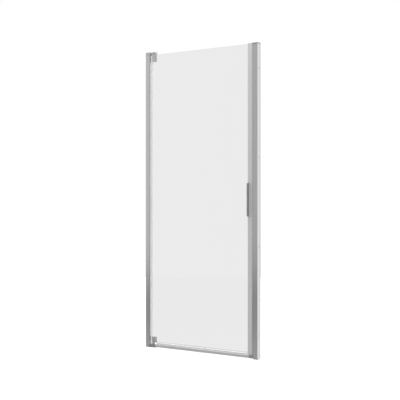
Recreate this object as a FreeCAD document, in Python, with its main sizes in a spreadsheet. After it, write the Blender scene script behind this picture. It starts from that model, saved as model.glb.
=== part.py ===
import FreeCAD, Part
import os
import re
import Sketcher

# Pivot shower door for an alcove: one pane of glass that turns on a top and a bottom pivot.
#
# The frame of the model: X runs along the opening, to the right when the door is seen from
# outside. Y points into the shower and Z up. The origin is on the tray, midway between the
# walls and in the middle plane of the glass. All lengths are millimetres.

doc = FreeCAD.newDocument("PivotShowerDoor")
sheet = doc.addObject("Spreadsheet::Sheet", "Sizes")

# Sizes that can each be set by itself.
driving = {
    # The opening, and the channels that are screwed to its walls
    "overall_width": 900,
    "channel_length": 1976,
    "channel_depth": 37,
    "channel_reach": 30,
    "channel_web": 2.6,
    "channel_flange": 1.8,
    "wall_recess_width": 25,
    "wall_recess_depth": 0.8,
    "wall_hole_diameter": 6.5,
    "wall_hole_count": 4,
    "wall_hole_margin": 148,
    # The posts that slide in the channels
    "post_clearance": 0.25,
    "post_wall": 1.8,
    "post_back_gap": 6,
    "post_edge_radius": 1,
    "hinge_post_reveal": 7,
    "strike_post_reveal": 10,
    "post_foot_height": 27,
    # The pivot axis and the clearances around it
    "pivot_setback": 18,
    "cove_depth": 1,
    "seal_gap": 0.6,
    "running_gap": 0.3,
    "press_clearance": 0.01,
    "bush_clearance": 0.03,
    "pin_diameter": 8,
    "bush_diameter": 11,
    "bush_stand": 1,
    "pin_end_gap": 1,
    # The pane
    "glass_thickness": 6,
    "glass_bottom": 33.5,
    "glass_height": 1950,
    "glass_overhang": 12,
    "notch_width": 28,
    "notch_height": 20,
    "glass_hole_diameter": 9,
    # The clamps that hold the pane at its pivots
    "clamp_back": 6,
    "clamp_front": 22,
    "clamp_half_depth": 14,
    "clamp_corner_radius": 7,
    "clamp_edge_radius": 2,
    "clamp_overlap": 0.5,
    "top_clamp_height": 49.4,
    "bottom_clamp_height": 38.5,
    "core_reach": 8,
    "core_clearance": 0.4,
    "gasket_thickness": 1,
    "boss_diameter": 16,
    "clamp_screw_offset": 10,
    "clamp_screw_diameter": 5,
    "clamp_screw_head": 9,
    "clamp_head_height": 2.5,
    "core_screw_margin": 10,
    "top_screw_spacing": 26,
    "bottom_screw_spacing": 19.5,
    "blind_wall": 2.5,
    "screw_clearance": 0.2,
    # The top bracket
    "bracket_head_height": 24,
    "cap_chamfer": 1.5,
    "spigot_height": 24,
    "spigot_clearance": 0.25,
    "spigot_inset": 2,
    "arm_width": 18,
    "arm_height": 10.7,
    "arm_cover": 4,
    "knuckle_height": 13.2,
    "knuckle_corner_radius": 3,
    "top_bush_length": 10.5,
    "top_pin_grip": 18,
    "slit_width": 1.2,
    "pinch_screw_offset": 13,
    "pinch_head_diameter": 8.5,
    "pinch_head_length": 5,
    # The bottom bearing block
    "bearing_height": 19,
    "bearing_front": 20,
    "bearing_half_depth": 14,
    "bearing_corner_radius": 5,
    "pin_floor": 3,
    "bottom_bush_length": 23,
    # Screws on the shower side of the channels
    "side_screw_diameter": 4,
    "side_screw_flats": 7,
    "side_head_height": 2.4,
    "side_screw_length": 14,
    "side_screw_margin": 10,
    "bracket_screw_depth": 12,
    "side_screw_inset": 19,
    "adjusting_screw_inset": 18,
    "adjusting_screw_count": 2,
    "adjusting_screw_margin": 250,
    "adjusting_slot_length": 12,
    "right_cap_height": 10,
    # The closing profile, its magnets and its gasket
    "closing_gap": 5,
    "closing_width": 33,
    "closing_depth": 21,
    "closing_wall": 1.6,
    "closing_drop": 6,
    "closing_radius": 1.5,
    "pocket_depth": 12,
    "pocket_side": 1.5,
    "pocket_floor": 2,
    "gasket_bead": 0.8,
    "end_cap_thickness": 1.5,
    "cap_inset": 0.5,
    "slot_mouth": 8,
    "slot_width": 13,
    "slot_lip": 2,
    "slot_depth": 5.5,
    "slot_clearance": 0.1,
    "magnet_face": 10,
    "magnet_corner": 0.5,
    "door_magnet_stand": 1.9,
    "magnet_gap": 0.4,
    # The blade handles
    "handle_setback": 7.4,
    "blade_thickness": 4.6,
    "blade_stand": 25,
    "blade_tip_radius": 1.8,
    "blade_end_radius": 3,
    "handle_foot_width": 13,
    "handle_foot_thickness": 3,
    "handle_bottom": 896,
    "handle_length": 210,
    "handle_screw_diameter": 4,
    "handle_screw_head": 7,
    "handle_head_height": 2,
    "handle_screw_margin": 40,
    "handle_blind_wall": 0.8,
    # The seals
    "seal_leg": 1.2,
    "seal_leg_length": 9,
    "seal_end_gap": 0.3,
    "drip_leg_height": 8.5,
    "drip_web": 1.2,
    "drip_gap": 0.6,
    "drip_lip_reach": 6,
    # The threshold rail
    "rail_base": 5.5,
    "rail_top": 20,
    "rail_half_depth": 12,
    "rail_shelf": 3,
    "rail_heel": 11,
    "rail_wall": 1.5,
    "rail_edge_radius": 1.2,
    "rail_plug_length": 12,
    "plug_clearance": 0.2,
    "end_plug_length": 15,
    "base_seal_inset": 2,
    "base_seal_foot": 3,
    "base_seal_arch": 2.5,
    "base_seal_taper": 1,
}

# Places and fitted sizes that follow from them.
derived = {
    "wall_face": "overall_width / 2",
    "web_face": "wall_face - channel_web",
    "channel_mouth": "wall_face - channel_reach",
    "channel_half": "channel_depth / 2",
    "channel_inside": "channel_half - channel_flange",
    "wall_hole_pitch": "(channel_length - 2 * wall_hole_margin) / (wall_hole_count - 1)",
    "post_half": "channel_inside - post_clearance",
    "post_inside": "post_half - post_wall",
    "post_back": "wall_face - post_back_gap",
    "hinge_nose": "channel_mouth - hinge_post_reveal",
    "strike_nose": "channel_mouth - strike_post_reveal",
    "pivot_x": "-(hinge_nose - pivot_setback)",
    "cove_radius": "pivot_setback + cove_depth",
    "cove_half": "sqrt(cove_radius ^ 2 - pivot_setback ^ 2)",
    "post_bore_face": "hinge_nose + cove_depth + post_wall",
    "pin_bore": "pin_diameter + 2 * press_clearance",
    "bush_seat": "bush_diameter + 2 * press_clearance",
    "bush_bore": "pin_diameter + 2 * bush_clearance",
    # Closing side
    "closing_right": "strike_nose - closing_gap",
    "closing_left": "closing_right - closing_width",
    "closing_half": "closing_depth / 2",
    "pocket_half": "glass_half + pocket_side",
    "pocket_end": "closing_left + pocket_depth",
    "slot_floor": "closing_right - slot_depth",
    "chamber_left": "pocket_end + closing_wall",
    "chamber_right": "slot_floor - closing_wall",
    "chamber_half": "closing_half - closing_wall",
    "closing_bottom": "glass_bottom - closing_drop",
    "door_magnet_nose": "closing_right + door_magnet_stand",
    # Pane
    "glass_half": "glass_thickness / 2",
    "glass_left": "pivot_x - glass_overhang",
    "glass_right": "pocket_end - pocket_floor",
    "glass_top": "glass_bottom + glass_height",
    "notch_edge": "glass_left + notch_width",
    "top_notch": "glass_top - notch_height",
    "bottom_notch": "glass_bottom + notch_height",
    # Clamps
    "clamp_left": "pivot_x - clamp_back",
    "clamp_right": "pivot_x + clamp_front",
    "clamp_seat": "glass_half + gasket_thickness",
    "core_right": "notch_edge - core_clearance",
    "top_clamp_top": "glass_top + clamp_overlap",
    "top_clamp_bottom": "top_clamp_top - top_clamp_height",
    "top_core_bottom": "top_notch + core_clearance",
    "bottom_clamp_top": "glass_bottom + bottom_clamp_height",
    "bottom_core_top": "bottom_notch - core_clearance",
    "clamp_screw_x": "pivot_x + clamp_screw_offset",
    "top_core_screw": "top_clamp_top - core_screw_margin",
    "top_glass_screw": "top_core_screw - top_screw_spacing",
    "bottom_core_screw": "glass_bottom + core_screw_margin",
    "bottom_glass_screw": "bottom_core_screw + bottom_screw_spacing",
    "screw_bore": "clamp_screw_diameter + 2 * screw_clearance",
    "screw_thread": "clamp_screw_diameter + 2 * press_clearance",
    # Top pivot
    "knuckle_bottom": "top_clamp_top + running_gap + bush_stand",
    "knuckle_top": "knuckle_bottom + knuckle_height",
    "top_bush_top": "knuckle_bottom + top_bush_length",
    "top_pin_bottom": "top_clamp_top - top_pin_grip",
    "top_pin_top": "top_bush_top - pin_end_gap",
    "arm_root": "max(channel_length; knuckle_bottom)",
    "bracket_top": "max(channel_length + bracket_head_height; arm_root + arm_height + arm_cover)",
    "spigot_half": "post_inside - spigot_clearance",
    "spigot_outer": "post_back - spigot_inset",
    "spigot_inner": "post_bore_face + spigot_inset",
    "pinch_x": "pivot_x + pinch_screw_offset",
    "pinch_level": "knuckle_bottom + knuckle_height / 2",
    # Bottom pivot
    "bearing_right": "pivot_x + bearing_front",
    "boss_bottom": "bearing_height + running_gap + bush_stand",
    "bottom_bush_top": "boss_bottom + bottom_bush_length",
    "bottom_pin_top": "bottom_bush_top - pin_end_gap",
    # Shower-side screws
    "side_hole": "side_screw_diameter + 2 * screw_clearance",
    "side_thread": "side_screw_diameter + 2 * press_clearance",
    "side_screw_x": "-(wall_face - side_screw_inset)",
    "bracket_screw_level": "channel_length - bracket_screw_depth",
    "adjusting_x": "wall_face - adjusting_screw_inset",
    "adjusting_pitch": "(channel_length - 2 * adjusting_screw_margin) / (adjusting_screw_count - 1)",
    # Handles
    "blade_left": "closing_left + handle_setback",
    "handle_top": "handle_bottom + handle_length",
    "handle_screw_x": "blade_left + (blade_thickness + handle_foot_width) / 2",
    "handle_screw_low": "handle_bottom + handle_screw_margin",
    "handle_screw_pitch": "handle_length - 2 * handle_screw_margin",
    "handle_screw_bore": "handle_screw_diameter + 2 * screw_clearance",
    # Seals
    "seal_radius": "cove_radius - seal_gap",
    "seal_half": "glass_half + seal_leg",
    "seal_nose": "pivot_x - sqrt(seal_radius ^ 2 - seal_half ^ 2)",
    "seal_bottom": "bottom_clamp_top + seal_end_gap",
    "seal_top": "top_clamp_bottom - seal_end_gap",
    "drip_bottom": "rail_top + drip_gap",
    "drip_floor": "glass_bottom - drip_web",
    # Threshold
    "rail_right": "wall_face - channel_web - end_plug_length",
    "rail_inside_half": "rail_half_depth - rail_wall",
    "rail_slope": "(rail_top - rail_heel) / (rail_half_depth - rail_shelf)",
}


def bind(text):
    """Write a formula of size names as one that reads the Sizes sheet."""
    def look_up(match):
        word = match.group(0)
        if word in driving:
            return "Sizes." + word
        if word in derived:
            return "(" + bind(derived[word]) + ")"
        return word
    return re.sub(r"[a-z_]+", look_up, text)


def value(text):
    """Present value of a formula, in millimetres."""
    return float(sheet.evalExpression(bind(text)))


for row, (alias, size) in enumerate(driving.items(), start=1):
    sheet.set(f"A{row}", alias.replace("_", " "))
    sheet.set(f"B{row}", str(size))
    sheet.setAlias(f"B{row}", alias)
doc.recompute()


# ---------------------------------------------------------------- drawing and shaping

DIRECTIONS = {"right": (1, 0), "left": (-1, 0), "up": (0, 1), "down": (0, -1)}


def rounded(across, up, radius, arriving, leaving):
    """A corner of an outline, rounded between an arriving and a leaving straight side."""
    arrive, leave = DIRECTIONS[arriving], DIRECTIONS[leaving]
    turn = arrive[0] * leave[1] - arrive[1] * leave[0]
    begin = (f"{across} - {arrive[0]} * ({radius})", f"{up} - {arrive[1]} * ({radius})", radius, turn)
    end = (f"{across} + {leave[0]} * ({radius})", f"{up} + {leave[1]} * ({radius})")
    return [begin, end]


def rectangle(left, right, low, high, radius=None):
    """A rectangle between four formulas, with all corners rounded if it has a radius."""
    if radius is None:
        return [(left, low), (right, low), (right, high), (left, high)]
    return (rounded(left, low, radius, "down", "right") + rounded(right, low, radius, "right", "up")
            + rounded(right, high, radius, "up", "left") + rounded(left, high, radius, "left", "down"))


def bow(start, end, radius, turn):
    """The short arc from start to end; its centre lies left of the way for a turn of 1."""
    chord = end - start
    outward = FreeCAD.Vector(chord.y, -chord.x, 0).normalize() * turn
    rise = radius - (radius ** 2 - (chord.Length / 2) ** 2) ** 0.5
    return Part.Arc(start, (start + end) * 0.5 + outward * rise, end)


def tie(sketch, constraints):
    """Add constraints, each with the formula that sets it, or None."""
    numbers = sketch.addConstraint([constraint for constraint, formula in constraints])
    for number, (constraint, formula) in zip(numbers, constraints):
        if formula is not None:
            sketch.setExpression(f"Constraints[{number}]", bind(formula))


def draw_circle(sketch, across, up, diameter):
    middle = FreeCAD.Vector(value(across), value(up), 0)
    circle = Part.Circle(middle, FreeCAD.Vector(0, 0, 1), value(diameter) / 2)
    item = sketch.addGeometry(circle, False)
    tie(sketch, [
        (Sketcher.Constraint("DistanceX", -1, 1, item, 3, middle.x), across),
        (Sketcher.Constraint("DistanceY", -1, 1, item, 3, middle.y), up),
        (Sketcher.Constraint("Diameter", item, value(diameter)), diameter)])


def draw_outline(sketch, corners):
    """Draw a closed outline and tie each of its corners to its formulas.

    A corner is (across, up), or (across, up, radius, turn) where an arc leaves it.
    """
    spots = [FreeCAD.Vector(value(corner[0]), value(corner[1]), 0) for corner in corners]
    count = len(corners)
    items = []
    for index, corner in enumerate(corners):
        start, end = spots[index], spots[(index + 1) % count]
        if len(corner) == 2:
            side = Part.LineSegment(start, end)
        else:
            side = bow(start, end, value(corner[2]), corner[3])
        items.append(sketch.addGeometry(side, False))
    begins = [1 if sketch.getPoint(item, 1).isEqual(spot, 1e-6) else 2
              for item, spot in zip(items, spots)]
    constraints = []
    for index, corner in enumerate(corners):
        item, begin = items[index], begins[index]
        last, last_end = items[index - 1], 3 - begins[index - 1]
        spot = spots[index]
        constraints += [
            (Sketcher.Constraint("Coincident", last, last_end, item, begin), None),
            (Sketcher.Constraint("DistanceX", -1, 1, item, begin, spot.x), corner[0]),
            (Sketcher.Constraint("DistanceY", -1, 1, item, begin, spot.y), corner[1])]
        if len(corner) == 4:
            constraints.append((Sketcher.Constraint("Radius", item, value(corner[2])), corner[2]))
    tie(sketch, constraints)


def new_body(label):
    body = doc.addObject("PartDesign::Body", label)
    body.Label = label
    return body


def own_datum(body, role):
    """The body's own origin plane or axis, such as XY_Plane or Z_Axis."""
    return [item for item in body.Origin.OriginFeatures if item.Role == role][0]


def sketch_on(body, name, plane, level, shapes):
    """Sketch on one of the body's planes, moved along its axis to a level.

    A shape is a list of corners, or (across, up, diameter) for a circle.
    """
    sketch = body.newObject("Sketcher::SketchObject", name + "_sketch")
    sketch.AttachmentSupport = [(own_datum(body, plane + "_Plane"), "")]
    sketch.MapMode = "FlatFace"
    facing = "-1" if plane == "XZ" else "1"
    sketch.setExpression(".AttachmentOffset.Base.z", bind(f"{facing} * ({level})"))
    for shape in shapes:
        if isinstance(shape, tuple):
            draw_circle(sketch, *shape)
        else:
            draw_outline(sketch, shape)
    return sketch


def add(body, name, plane, start, end, *shapes):
    """Pad that fills the shapes from one level to a higher one."""
    level = end if plane == "XZ" else start
    pad = body.newObject("PartDesign::Pad", name)
    pad.Profile = sketch_on(body, name, plane, level, shapes)
    pad.setExpression("Length", bind(f"{end} - ({start})"))
    body.Tip = pad
    return pad


def carve(body, name, plane, start, end, *shapes):
    """Pocket that clears the shapes from one level to a higher one."""
    level = start if plane == "XZ" else end
    pocket = body.newObject("PartDesign::Pocket", name)
    pocket.Profile = sketch_on(body, name, plane, level, shapes)
    pocket.setExpression("Length", bind(f"{end} - ({start})"))
    body.Tip = pocket
    return pocket


def repeat(body, name, features, axis, spacing, count):
    """Repeat features along an axis of the body."""
    pattern = body.newObject("PartDesign::LinearPattern", name)
    pattern.Originals = features
    pattern.Direction = (own_datum(body, axis + "_Axis"), [""])
    pattern.Mode = "Spacing"
    pattern.setExpression("Offset", bind(spacing))
    pattern.setExpression("Occurrences", bind(count))
    body.Tip = pattern
    return pattern


def chamfer(body, name, size, test):
    """Chamfer on the edges of the body for which the test holds."""
    doc.recompute()
    base = body.Tip
    edges = enumerate(base.Shape.Edges, start=1)
    names = [f"Edge{number}" for number, edge in edges if test(edge)]
    dressing = body.newObject("PartDesign::Chamfer", name)
    dressing.Base = (base, names)
    dressing.setExpression("Size", bind(size))
    body.Tip = dressing


def lies_at(edge, **places):
    """True for an edge whose ends all lie at the given places, such as z=20."""
    return all(abs(getattr(vertex, axis.upper()) - place) < 1e-4
               for vertex in edge.Vertexes for axis, place in places.items())


def hexagon(across, up, width):
    """Outline of a hexagon, from its width across the flats."""
    steps = ((0, 1), (-0.5, 0.5), (-0.5, -0.5), (0, -1), (0.5, -0.5), (0.5, 0.5))
    return [(f"{across} + {width} * {right}", f"{up} + {width} * {high} / sqrt(3)")
            for right, high in steps]


def screw(body, name, across, up, face, end, shank, head, head_height):
    """Screw driven from the shower side: a shank up to a face, and a head that sits on it.

    The head is a diameter, or an outline drawn by hexagon.
    """
    head_shape = head if isinstance(head, list) else (across, up, head)
    stem = add(body, name + "_shank", "XZ", end, face, (across, up, shank))
    top = add(body, name + "_head", "XZ", face, f"{face} + {head_height}", head_shape)
    return [stem, top]


# ---------------------------------------------------------------- wall channels and posts

SIGNS = {"left": "-1", "right": "1"}


def between(side, near, far):
    """Lower and higher X of a stretch between two distances from the middle of the door."""
    if side == "left":
        return f"-({far})", f"-({near})"
    return near, far


def wall_channel(side):
    """Extruded U channel that is screwed to the wall through its recessed web."""
    body = new_body("wall_channel_" + side)

    def out(distance):
        return f"{SIGNS[side]} * ({distance})"

    section = [
        (out("wall_face"), "channel_half"),
        (out("channel_mouth"), "channel_half"),
        (out("channel_mouth"), "channel_inside"),
        (out("web_face"), "channel_inside"),
        (out("web_face"), "-channel_inside"),
        (out("channel_mouth"), "-channel_inside"),
        (out("channel_mouth"), "-channel_half"),
        (out("wall_face"), "-channel_half"),
        (out("wall_face"), "-wall_recess_width / 2"),
        (out("wall_face - wall_recess_depth"), "-wall_recess_width / 2"),
        (out("wall_face - wall_recess_depth"), "wall_recess_width / 2"),
        (out("wall_face"), "wall_recess_width / 2")]
    add(body, side + "_channel", "XY", "0", "channel_length", section)
    start, end = between(side, "web_face", "wall_face")
    wall_hole = carve(body, side + "_wall_hole", "YZ", start, end,
                      ("0", "wall_hole_margin", "wall_hole_diameter"))
    repeat(body, side + "_wall_holes", [wall_hole], "Z", "wall_hole_pitch", "wall_hole_count")
    hole = carve(body, side + "_adjusting_hole", "XZ", "channel_inside", "channel_half",
                 (out("adjusting_x"), "adjusting_screw_margin", "side_hole"))
    repeat(body, side + "_adjusting_holes", [hole], "Z", "adjusting_pitch", "adjusting_screw_count")
    if side == "left":
        for name, level in (("bearing", "side_screw_margin"), ("bracket", "bracket_screw_level")):
            carve(body, name + "_hole", "XZ", "channel_inside", "channel_half",
                  ("side_screw_x", level, "side_hole"))


def adjusting_slot(body, side):
    """Slots in the post's shower side that let it slide before its screws are driven."""
    middle = f"{SIGNS[side]} * adjusting_x"
    slot = rectangle(f"{middle} - adjusting_slot_length / 2", f"{middle} + adjusting_slot_length / 2",
                     "adjusting_screw_margin - side_hole / 2",
                     "adjusting_screw_margin + side_hole / 2")
    cut = carve(body, side + "_slot", "XZ", "post_inside", "post_half", slot)
    repeat(body, side + "_slots", [cut], "Z", "adjusting_pitch", "adjusting_screw_count")


def hinge_post():
    """Post on the hinge side; its nose has a cove that runs round the pivot axis."""
    body = new_body("hinge_post")
    section = [("-post_back", "-post_half")]
    section += rounded("-hinge_nose", "-post_half", "post_edge_radius", "right", "up")
    section += [("-hinge_nose", "-cove_half", "cove_radius", -1), ("-hinge_nose", "cove_half")]
    section += rounded("-hinge_nose", "post_half", "post_edge_radius", "up", "left")
    section += [
        ("-post_back", "post_half"), ("-post_back", "post_inside"),
        ("-post_bore_face", "post_inside"), ("-post_bore_face", "-post_inside"),
        ("-post_back", "-post_inside")]
    add(body, "hinge_post_section", "XY", "post_foot_height", "channel_length", section)
    carve(body, "bracket_screw_hole", "XZ", "post_inside", "post_half",
          ("side_screw_x", "bracket_screw_level", "side_hole"))
    adjusting_slot(body, "left")


def slot_walls(face, inward):
    """Corners of a T slot for a magnet strip, from one lip of its mouth to the other."""
    lip, floor = f"{face} {inward} slot_lip", f"{face} {inward} slot_depth"
    lower = [(face, "-slot_mouth / 2"), (lip, "-slot_mouth / 2"), (lip, "-slot_width / 2"),
             (floor, "-slot_width / 2")]
    return lower + [(across, "-(" + up + ")") for across, up in reversed(lower)]


def strike_post():
    """Post on the closing side, with a slot in its nose for the magnet strip."""
    body = new_body("strike_post")
    back = "slot_width / 2 + post_wall"
    section = [("post_back", "post_half")]
    section += rounded("strike_nose", "post_half", "post_edge_radius", "left", "down")
    section += [(across, "-(" + up + ")") for across, up in slot_walls("strike_nose", "+")]
    section += rounded("strike_nose", "-post_half", "post_edge_radius", "down", "right")
    section += [
        ("post_back", "-post_half"), ("post_back", "-post_inside"),
        ("strike_nose + post_wall", "-post_inside"), ("strike_nose + post_wall", f"-({back})"),
        ("strike_nose + slot_depth + post_wall", f"-({back})"),
        ("strike_nose + slot_depth + post_wall", back),
        ("strike_nose + post_wall", back), ("strike_nose + post_wall", "post_inside"),
        ("post_back", "post_inside")]
    add(body, "strike_post_section", "XY", "post_foot_height", "channel_length", section)
    adjusting_slot(body, "right")


def magnet_strip(label, face, inward, outward, nose, bottom, top):
    """Magnet strip whose foot fills a T slot and whose face stands proud of it."""
    body = new_body(label)
    foot = f"{face} {inward} (slot_depth - slot_clearance)"
    lip = f"{face} {inward} (slot_lip + slot_clearance)"
    step = f"{face} {outward} slot_clearance"
    foot_half, neck_half = "(slot_width / 2 - slot_clearance)", "(slot_mouth / 2 - slot_clearance)"
    lower = [(foot, "-" + foot_half), (lip, "-" + foot_half), (lip, "-" + neck_half),
             (step, "-" + neck_half), (step, "-magnet_face / 2"),
             (f"{nose} {inward} magnet_corner", "-magnet_face / 2"),
             (nose, "-(magnet_face / 2 - magnet_corner)")]
    section = lower + [(across, "-(" + up + ")") for across, up in reversed(lower)]
    add(body, label + "_section", "XY", bottom, top, section)


def channel_cap_right():
    """Moulded cap over the ends of the right channel and its post."""
    body = new_body("channel_cap_right")
    top = "channel_length + right_cap_height"
    add(body, "cap_plate", "XY", "channel_length", top,
        rectangle("strike_nose", "wall_face", "-channel_half", "channel_half"))
    add(body, "cap_spigot", "XY", "channel_length - right_cap_height", "channel_length",
        rectangle("strike_nose + slot_depth + post_wall + spigot_clearance",
                  "spigot_outer", "-spigot_half", "spigot_half"))
    level = value(top)
    wall = value("wall_face")
    chamfer(body, "cap_rim", "cap_chamfer",
            lambda edge: lies_at(edge, z=level) and not lies_at(edge, x=wall))


# ---------------------------------------------------------------- top pivot

def top_bracket():
    """Cast bracket: a head on the channel, an arm, and a slit knuckle that holds the bush."""
    body = new_body("top_bracket")
    add(body, "bracket_head", "XY", "channel_length", "bracket_top",
        rectangle("-wall_face", "-hinge_nose", "-channel_half", "channel_half"))
    level = value("bracket_top")
    wall = value("-wall_face")
    chamfer(body, "bracket_rim", "cap_chamfer",
            lambda edge: lies_at(edge, z=level) and not lies_at(edge, x=wall))
    add(body, "bracket_spigot", "XY", "channel_length - spigot_height", "channel_length",
        rectangle("-spigot_outer", "-spigot_inner", "-spigot_half", "spigot_half"))
    add(body, "bracket_arm", "XY", "arm_root", "arm_root + arm_height",
        rectangle("-(hinge_nose + spigot_inset)", "pivot_x", "-arm_width / 2", "arm_width / 2"))
    # Beside a channel that ends above the pane, the arm drops in front of the post.
    add(body, "arm_drop", "XY", "knuckle_bottom", "arm_root + arm_height",
        rectangle("-(hinge_nose - running_gap)", "pivot_x", "-arm_width / 2", "arm_width / 2"))
    add(body, "bracket_knuckle", "XY", "knuckle_bottom", "knuckle_top",
        rectangle("clamp_left", "clamp_right", "-clamp_half_depth", "clamp_half_depth",
                  "knuckle_corner_radius"))
    carve(body, "bush_bore", "XY", "knuckle_bottom", "top_bush_top + running_gap",
          ("pivot_x", "0", "bush_seat"))
    carve(body, "knuckle_slit", "XY", "knuckle_bottom", "knuckle_top",
          rectangle("pivot_x", "clamp_right", "-slit_width / 2", "slit_width / 2"))
    carve(body, "pinch_bore", "XZ", "-clamp_half_depth", "0",
          ("pinch_x", "pinch_level", "screw_bore"))
    carve(body, "pinch_thread", "XZ", "0", "clamp_half_depth - blind_wall",
          ("pinch_x", "pinch_level", "screw_thread"))
    carve(body, "pinch_head_seat", "XZ", "-clamp_half_depth",
          "-(clamp_half_depth - pinch_head_length - screw_clearance)",
          ("pinch_x", "pinch_level", "pinch_head_diameter + 2 * screw_clearance"))
    carve(body, "bracket_thread", "XZ", "channel_half - side_screw_length", "spigot_half",
          ("side_screw_x", "bracket_screw_level", "side_thread"))


def pinch_screw():
    """Screw that closes the slit knuckle on its bush, driven from outside."""
    body = new_body("pinch_screw")
    head = "-(clamp_half_depth - screw_clearance)"
    shoulder = f"{head} + pinch_head_length"
    add(body, "pinch_head", "XZ", head, shoulder, ("pinch_x", "pinch_level", "pinch_head_diameter"))
    add(body, "pinch_shank", "XZ", shoulder, "clamp_half_depth - 2 * blind_wall",
        ("pinch_x", "pinch_level", "clamp_screw_diameter"))


def bush(label, bottom, top):
    """Plastic bush that stands a little proud of its seat, towards the other half."""
    add(new_body(label), label + "_barrel", "XY", bottom, top,
        ("pivot_x", "0", "bush_diameter"), ("pivot_x", "0", "bush_bore"))


def pivot_pin(label, bottom, top):
    """Hardened pin, pressed into the half that it stands in."""
    add(new_body(label), label + "_barrel", "XY", bottom, top, ("pivot_x", "0", "pin_diameter"))


# ---------------------------------------------------------------- clamps

CLAMPS = {
    "top": {"low": "top_clamp_bottom", "high": "top_clamp_top", "core_low": "top_core_bottom",
            "core_high": "top_clamp_top", "notch": "top_notch", "glass_end": "glass_top",
            "core_screw": "top_core_screw", "glass_screw": "top_glass_screw",
            "spacing": "top_screw_spacing"},
    "bottom": {"low": "glass_bottom", "high": "bottom_clamp_top", "core_low": "glass_bottom",
               "core_high": "bottom_core_top", "notch": "bottom_notch",
               "glass_end": "glass_bottom", "core_screw": "bottom_core_screw",
               "glass_screw": "bottom_glass_screw", "spacing": "bottom_screw_spacing"},
}


def clamp_plan(face, back, way):
    """Plan of a clamp half between its face and its glass side; way is 1 towards the shower."""
    if way == 1:
        return ([("clamp_left", back), ("clamp_right", back)]
                + rounded("clamp_right", face, "clamp_edge_radius", "up", "left")
                + rounded("clamp_left", face, "clamp_corner_radius", "left", "down"))
    return (rounded("clamp_left", face, "clamp_corner_radius", "down", "right")
            + rounded("clamp_right", face, "clamp_edge_radius", "right", "up")
            + [("clamp_right", back), ("clamp_left", back)])


def clamp_body(name):
    """Cast outer half of a clamp, whose core fills the notch in the pane and holds the pivot."""
    clamp = CLAMPS[name]
    body = new_body(name + "_clamp_body")
    add(body, name + "_plate", "XY", clamp["low"], clamp["high"],
        clamp_plan("-clamp_half_depth", "-clamp_seat", -1))
    add(body, name + "_core", "XY", clamp["core_low"], clamp["core_high"],
        rectangle("clamp_left", "core_right", "-clamp_seat", "core_reach"))
    if name == "top":
        carve(body, "top_pin_bore", "XY", "top_pin_bottom", "top_clamp_top",
              ("pivot_x", "0", "pin_bore"))
    else:
        add(body, "bottom_boss", "XY", "boss_bottom", "glass_bottom",
            ("pivot_x", "0", "boss_diameter"))
        carve(body, "bottom_bush_bore", "XY", "boss_bottom", "bottom_bush_top",
              ("pivot_x", "0", "bush_seat"))
    carve(body, name + "_core_thread", "XZ", "-(clamp_half_depth - blind_wall)", "core_reach",
          ("clamp_screw_x", clamp["core_screw"], "screw_thread"))
    carve(body, name + "_glass_thread", "XZ", "-(clamp_half_depth - blind_wall)", "-clamp_seat",
          ("clamp_screw_x", clamp["glass_screw"], "screw_thread"))


def clamp_cover(name):
    """Inner half of a clamp, screwed to the outer one from the shower side."""
    clamp = CLAMPS[name]
    body = new_body(name + "_clamp_cover")
    add(body, name + "_cover_plate", "XY", clamp["low"], clamp["high"],
        clamp_plan("clamp_half_depth", "clamp_seat", 1))
    low, high = clamp["core_low"], clamp["core_high"]
    if name == "top":
        low = f"{low} - core_clearance / 2"
    else:
        high = f"{high} + core_clearance / 2"
    carve(body, name + "_core_recess", "XY", low, high,
          rectangle("clamp_left", "core_right + core_clearance / 2", "clamp_seat", "core_reach"))
    for kind in ("core_screw", "glass_screw"):
        carve(body, f"{name}_{kind}_bore", "XZ", "clamp_seat", "clamp_half_depth",
              ("clamp_screw_x", clamp[kind], "screw_bore"))


def clamp_gasket(name, place):
    """Soft pad between the pane and one half of a clamp, with a square window for the screw."""
    clamp = CLAMPS[name]
    body = new_body(f"{name}_gasket_{place}")
    wide_end = clamp["low"] if name == "top" else clamp["high"]
    pad = [("clamp_left", wide_end), ("clamp_right", wide_end),
           ("clamp_right", clamp["glass_end"]), ("notch_edge", clamp["glass_end"]),
           ("notch_edge", clamp["notch"]), ("clamp_left", clamp["notch"])]
    start, end = ("-clamp_seat", "-glass_half") if place == "outer" else ("glass_half", "clamp_seat")
    reach = "glass_hole_diameter / 2"
    window = rectangle(f"clamp_screw_x - {reach}", f"clamp_screw_x + {reach}",
                       f"{clamp['glass_screw']} - {reach}", f"{clamp['glass_screw']} + {reach}")
    add(body, f"{name}_{place}_pad", "XZ", start, end, pad, window)


def clamp_screws():
    """Two screws for each clamp: one into its core, one through the hole in the pane."""
    body = new_body("clamp_screws")
    for name, clamp in CLAMPS.items():
        for kind in ("core_screw", "glass_screw"):
            screw(body, f"{name}_{kind}", "clamp_screw_x", clamp[kind], "clamp_half_depth",
                  "-(clamp_half_depth - 2 * blind_wall)", "clamp_screw_diameter",
                  "clamp_screw_head", "clamp_head_height")


# ---------------------------------------------------------------- bottom pivot

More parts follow.
